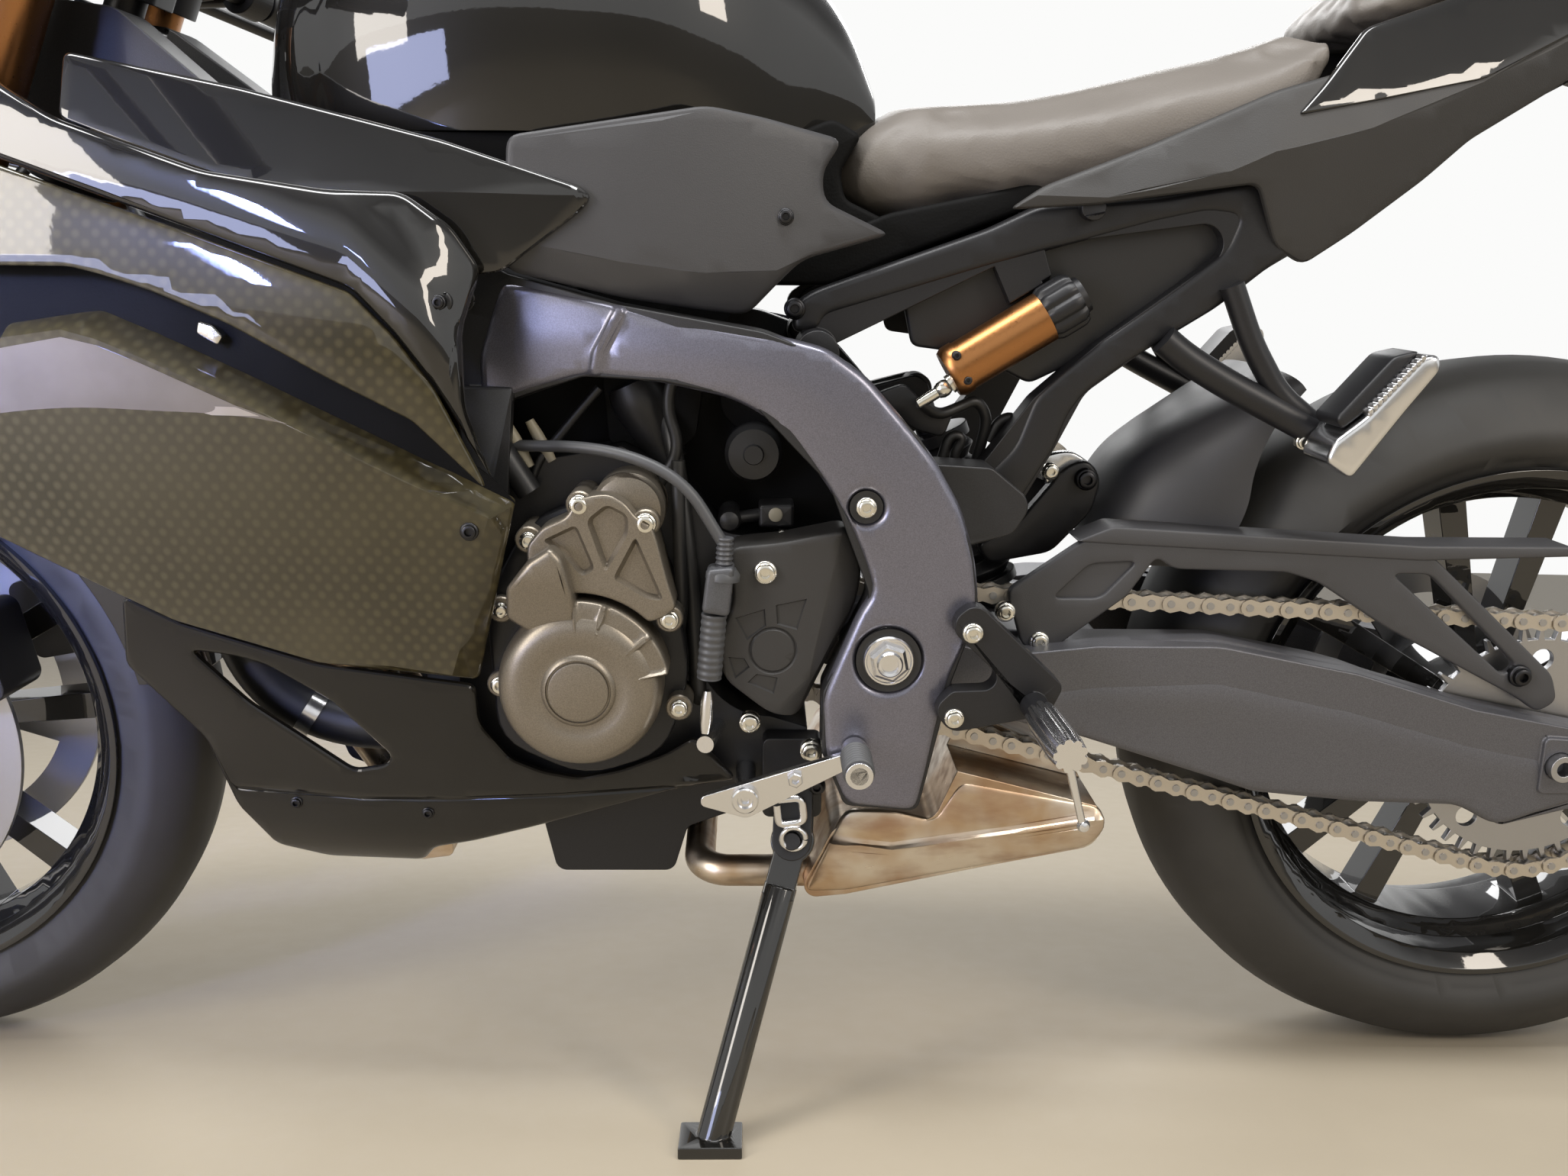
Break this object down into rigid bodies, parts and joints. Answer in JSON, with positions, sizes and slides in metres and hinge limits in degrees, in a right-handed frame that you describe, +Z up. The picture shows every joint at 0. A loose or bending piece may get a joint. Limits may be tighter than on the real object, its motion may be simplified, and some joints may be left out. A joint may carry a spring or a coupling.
{
  "type": "sport motorcycle",
  "caption": "Full-fairing sport motorcycle with a twin-beam frame, under-engine silencer and chain drive, parked leaning on its side stand.",
  "frame": {"origin": "on the floor under the middle of the leaning bike's bounding box", "axes": "-X forwards, -Y to the rider's left, +Z up; the bike leans 11.1 degrees towards -Y"},
  "size_m": [2.042, 0.7818, 1.1582],
  "materials": {
    "gloss_black_paint": "clear-coated gloss",
    "matte_black_plastic": "grained matte",
    "frame_grey": "satin metallic",
    "satin_black_metal": "satin",
    "engine_casting": "satin cast",
    "stainless": "heat tinted",
    "steel": "machined",
    "bright_alloy": "polished",
    "gold_anodised": "anodised",
    "tyre_rubber": "matt",
    "grip_rubber": "ribbed",
    "seat_vinyl": "grained",
    "smoked_screen": "smoked",
    "lamp_lens": "clear",
    "tail_lens": "red",
    "radiator_core": "black"
  },
  "bodies": {
    "chassis": {"frame": "frame_grey", "swingarm_arms": "satin_black_metal", "swingarm_bridge": "satin_black_metal", "pivot_shaft": "steel", "engine": "engine_casting", "engine_covers": "engine_casting", "sprocket_cover": "matte_black_plastic", "radiator": "radiator_core", "airbox": "matte_black_plastic", "hoses": "grip_rubber", "exhaust_headers": "stainless", "exhaust_chamber": "stainless", "side_fairings": "gloss_black_paint", "upper_fairings": "gloss_black_paint", "gloss_covers": "gloss_black_paint", "belly_cowls": "gloss_black_paint", "nose_cowl": "gloss_black_paint", "windscreen": "smoked_screen", "headlamps": "lamp_lens", "fairing_stay": "satin_black_metal", "dash": "matte_black_plastic", "mirrors": "matte_black_plastic", "fuel_tank": "gloss_black_paint", "tank_covers": "matte_black_plastic", "rider_seat": "seat_vinyl", "pillion_seat": "seat_vinyl", "seat_pan": "matte_black_plastic", "subframe": "satin_black_metal", "tail_covers": "matte_black_plastic", "tail_lamp": "tail_lens", "plate_bracket": "matte_black_plastic", "rear_shock": "satin_black_metal", "shock_reservoir": "gold_anodised", "chain_guard": "matte_black_plastic", "chain": "steel", "drive_sprocket": "steel", "rear_caliper": "satin_black_metal", "rear_axle": "steel", "footrests": "satin_black_metal", "foot_levers": "bright_alloy", "passenger_footrests": "bright_alloy", "stand_bracket": "satin_black_metal"},
    "steering": {"fork_tubes": "gold_anodised", "fork_legs": "bright_alloy", "fork_clamps": "satin_black_metal", "front_axle": "steel", "clip_ons": "satin_black_metal", "controls": "satin_black_metal", "front_fender": "gloss_black_paint", "front_calipers": "satin_black_metal", "brake_hoses": "grip_rubber"},
    "front_wheel": {"front_tyre": "tyre_rubber", "front_rim": "gloss_black_paint", "front_discs": "steel"},
    "rear_wheel": {"rear_tyre": "tyre_rubber", "rear_rim": "gloss_black_paint", "rear_disc": "steel", "rear_sprocket": "steel"},
    "side_stand": {"side_stand": "gloss_black_paint"},
    "fuel_cap": {"fuel_cap": "bright_alloy"}
  },
  "joints": [
    {"name": "steer", "type": "hinge", "parent": "chassis", "child": "steering", "pos_m": [-0.48835, 0.00297, 0.77212], "axis": [0.3843, -0.1777, 0.9059], "range_deg": [-27, 27]},
    {"name": "front_wheel_spin", "type": "hinge", "parent": "steering", "child": "front_wheel", "pos_m": [-0.721, 0.0963, 0.29646], "axis": [0, 0.9813, 0.1925], "continuous": true},
    {"name": "rear_wheel_spin", "type": "hinge", "parent": "chassis", "child": "rear_wheel", "pos_m": [0.699, 0.09341, 0.31118], "axis": [0, 0.9813, 0.1925], "continuous": true},
    {"name": "side_stand_fold", "type": "hinge", "parent": "chassis", "child": "side_stand", "pos_m": [0.085, -0.0691, 0.22529], "axis": [-0.0921, -0.9759, 0.198], "range_deg": [0, 93.7]},
    {"name": "fuel_cap_lid", "type": "hinge", "parent": "chassis", "child": "fuel_cap", "pos_m": [-0.207, -0.04174, 1.00004], "axis": [0, -0.9813, -0.1925], "range_deg": [0, 100]}
  ]
}
